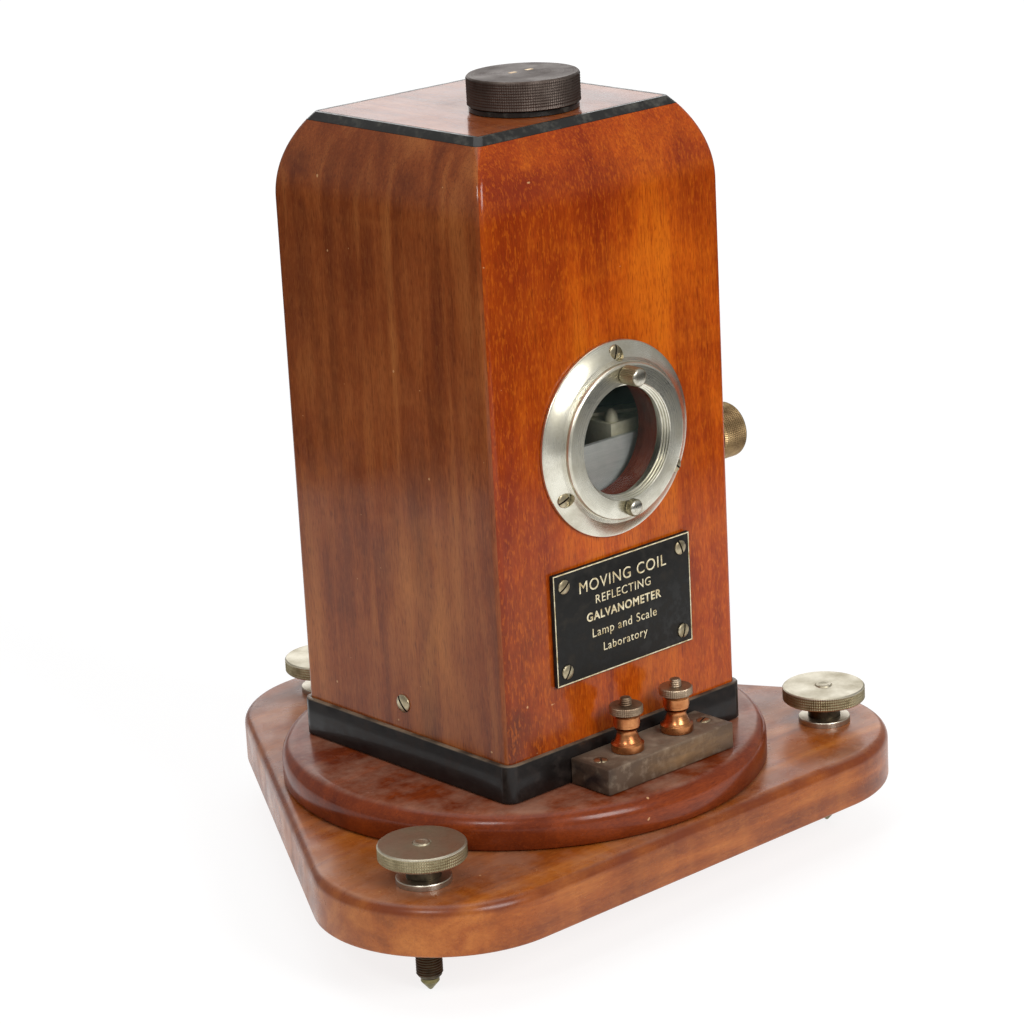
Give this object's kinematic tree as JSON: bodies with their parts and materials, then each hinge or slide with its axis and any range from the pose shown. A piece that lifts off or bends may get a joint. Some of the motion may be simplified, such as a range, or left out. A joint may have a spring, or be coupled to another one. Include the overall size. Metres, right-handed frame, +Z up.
{
  "type": "reflecting galvanometer",
  "caption": "Moving-coil mirror galvanometer: tall polished wooden case with round window and torsion head, on a lobed base with levelling screws.",
  "frame": {"origin": "on the bench, at the middle of the base's outline", "axes": "+Z up, -Y the window side, +X the side with the arrest knob"},
  "size_m": [0.2596, 0.2388, 0.3076],
  "materials": {
    "mahogany": "french polished",
    "dark_mahogany": "french polished",
    "black_lacquer": "ebonised and lacquered",
    "ebonite": "hard rubber, dusty and faded",
    "nickel": "nickel plated, brushed",
    "worn_nickel": "nickel plated, worn and tarnished",
    "brass": "tarnished",
    "copper": "lacquered copper alloy",
    "bronze": "dark bronzed",
    "black_enamel": "engraved brass, black filled",
    "iron": "machined",
    "aluminium": "satin",
    "glass": "clear",
    "silvered": "silvered"
  },
  "bodies": {
    "frame": {"arrest_bush": "nickel", "base_board": "mahogany", "bezel_screw_1": "nickel", "bezel_screw_2": "nickel", "bezel_screw_3": "nickel", "block_screw_left": "worn_nickel", "block_screw_right": "worn_nickel", "case_back": "mahogany", "case_front": "mahogany", "case_left": "mahogany", "case_right": "mahogany", "case_screw_left": "worn_nickel", "case_screw_right": "worn_nickel", "case_top": "mahogany", "clamp_block": "nickel", "front_plate": "aluminium", "inner_block": "dark_mahogany", "iron_core": "iron", "left_pole": "iron", "levelling_bush_back": "nickel", "levelling_bush_left": "nickel", "levelling_bush_right": "nickel", "magnet_bar": "iron", "movement_bracket": "brass", "name_plate": "black_enamel", "name_plate_screw_1": "worn_nickel", "name_plate_screw_2": "worn_nickel", "name_plate_screw_3": "worn_nickel", "name_plate_screw_4": "worn_nickel", "plinth_moulding": "black_lacquer", "right_pole": "iron", "sub_base_disc": "dark_mahogany", "terminal_block": "ebonite", "terminal_post_left": "copper", "terminal_post_right": "copper", "top_edging": "black_lacquer", "torsion_collar": "ebonite", "window_bezel": "nickel"},
    "left_foot": {"levelling_foot_left": "brass"},
    "left_levelling_screw": {"levelling_screw_left": "worn_nickel"},
    "right_foot": {"levelling_foot_right": "brass"},
    "right_levelling_screw": {"levelling_screw_right": "worn_nickel"},
    "back_foot": {"levelling_foot_back": "brass"},
    "back_levelling_screw": {"levelling_screw_back": "worn_nickel"},
    "left_terminal_collar": {"terminal_collar_left": "copper"},
    "left_terminal_nut": {"terminal_nut_left": "bronze"},
    "right_terminal_collar": {"terminal_collar_right": "copper"},
    "right_terminal_nut": {"terminal_nut_right": "bronze"},
    "torsion_head": {"torsion_head": "bronze"},
    "moving_system": {"moving_coil": "copper", "mirror": "silvered", "upper_suspension": "brass", "lower_suspension": "brass"},
    "arrest_knob": {"arrest_knob": "bronze"},
    "clamp_fork": {"clamp_fork": "nickel"},
    "lens_cell": {"lens_cell": "nickel", "window_lens": "glass", "cell_stud_upper": "nickel", "cell_stud_lower": "nickel"}
  },
  "joints": [
    {"name": "left_level_travel", "type": "slide", "parent": "frame", "child": "left_foot", "axis": [0, 0, 1], "range_m": [-0.0025, 0.008]},
    {"name": "left_level_turn", "type": "hinge", "parent": "left_foot", "child": "left_levelling_screw", "pos_m": [-0.10335, -0.08276, 0.0505], "axis": [0, 0, 1], "range_deg": [-904, 2884]},
    {"name": "right_level_travel", "type": "slide", "parent": "frame", "child": "right_foot", "axis": [0, 0, 1], "range_m": [-0.0025, 0.008]},
    {"name": "right_level_turn", "type": "hinge", "parent": "right_foot", "child": "right_levelling_screw", "pos_m": [0.10335, -0.08276, 0.0505], "axis": [0, 0, 1], "range_deg": [-904, 2884]},
    {"name": "back_level_travel", "type": "slide", "parent": "frame", "child": "back_foot", "axis": [0, 0, 1], "range_m": [-0.0025, 0.008]},
    {"name": "back_level_turn", "type": "hinge", "parent": "back_foot", "child": "back_levelling_screw", "pos_m": [0, 0.09626, 0.0505], "axis": [0, 0, 1], "range_deg": [-904, 2884]},
    {"name": "left_terminal_lift", "type": "slide", "parent": "frame", "child": "left_terminal_collar", "axis": [0, 0, 1], "range_m": [0, 0.004]},
    {"name": "left_terminal_turn", "type": "hinge", "parent": "left_terminal_collar", "child": "left_terminal_nut", "pos_m": [-0.0109, -0.09184, 0.082], "axis": [0, 0, 1], "range_deg": [0, 1804]},
    {"name": "right_terminal_lift", "type": "slide", "parent": "frame", "child": "right_terminal_collar", "axis": [0, 0, 1], "range_m": [0, 0.004]},
    {"name": "right_terminal_turn", "type": "hinge", "parent": "right_terminal_collar", "child": "right_terminal_nut", "pos_m": [0.0145, -0.09184, 0.082], "axis": [0, 0, 1], "range_deg": [0, 1804]},
    {"name": "torsion_turn", "type": "hinge", "parent": "frame", "child": "torsion_head", "pos_m": [0, -0.04109, 0.297], "axis": [0, 0, 1], "range_deg": [-20, 20]},
    {"name": "coil_deflection", "type": "hinge", "parent": "torsion_head", "child": "moving_system", "pos_m": [0, -0.04109, 0.1789], "axis": [0, 0, 1], "range_deg": [-12, 12], "stiffness_Nm_per_rad": 0.0002},
    {"name": "arrest_turn", "type": "hinge", "parent": "frame", "child": "arrest_knob", "pos_m": [0.0583, -0.05709, 0.1599], "axis": [1, 0, 0], "range_deg": [0, 180.9]},
    {"name": "clamp_lift", "type": "slide", "parent": "frame", "child": "clamp_fork", "axis": [0, 0, 1], "range_m": [0, 0.002]},
    {"name": "lens_cell_turn", "type": "hinge", "parent": "frame", "child": "lens_cell", "pos_m": [0, -0.07969, 0.1789], "axis": [0, 1, 0], "range_deg": [-30, 30]}
  ],
  "couplings": [
    {"joint": "left_level_turn", "follows": "left_level_travel", "rad_per_m": 6283.2},
    {"joint": "right_level_turn", "follows": "right_level_travel", "rad_per_m": 6283.2},
    {"joint": "back_level_turn", "follows": "back_level_travel", "rad_per_m": 6283.2},
    {"joint": "left_terminal_turn", "follows": "left_terminal_lift", "rad_per_m": 7854},
    {"joint": "right_terminal_turn", "follows": "right_terminal_lift", "rad_per_m": 7854},
    {"joint": "arrest_turn", "follows": "clamp_lift", "rad_per_m": 1570.8}
  ]
}
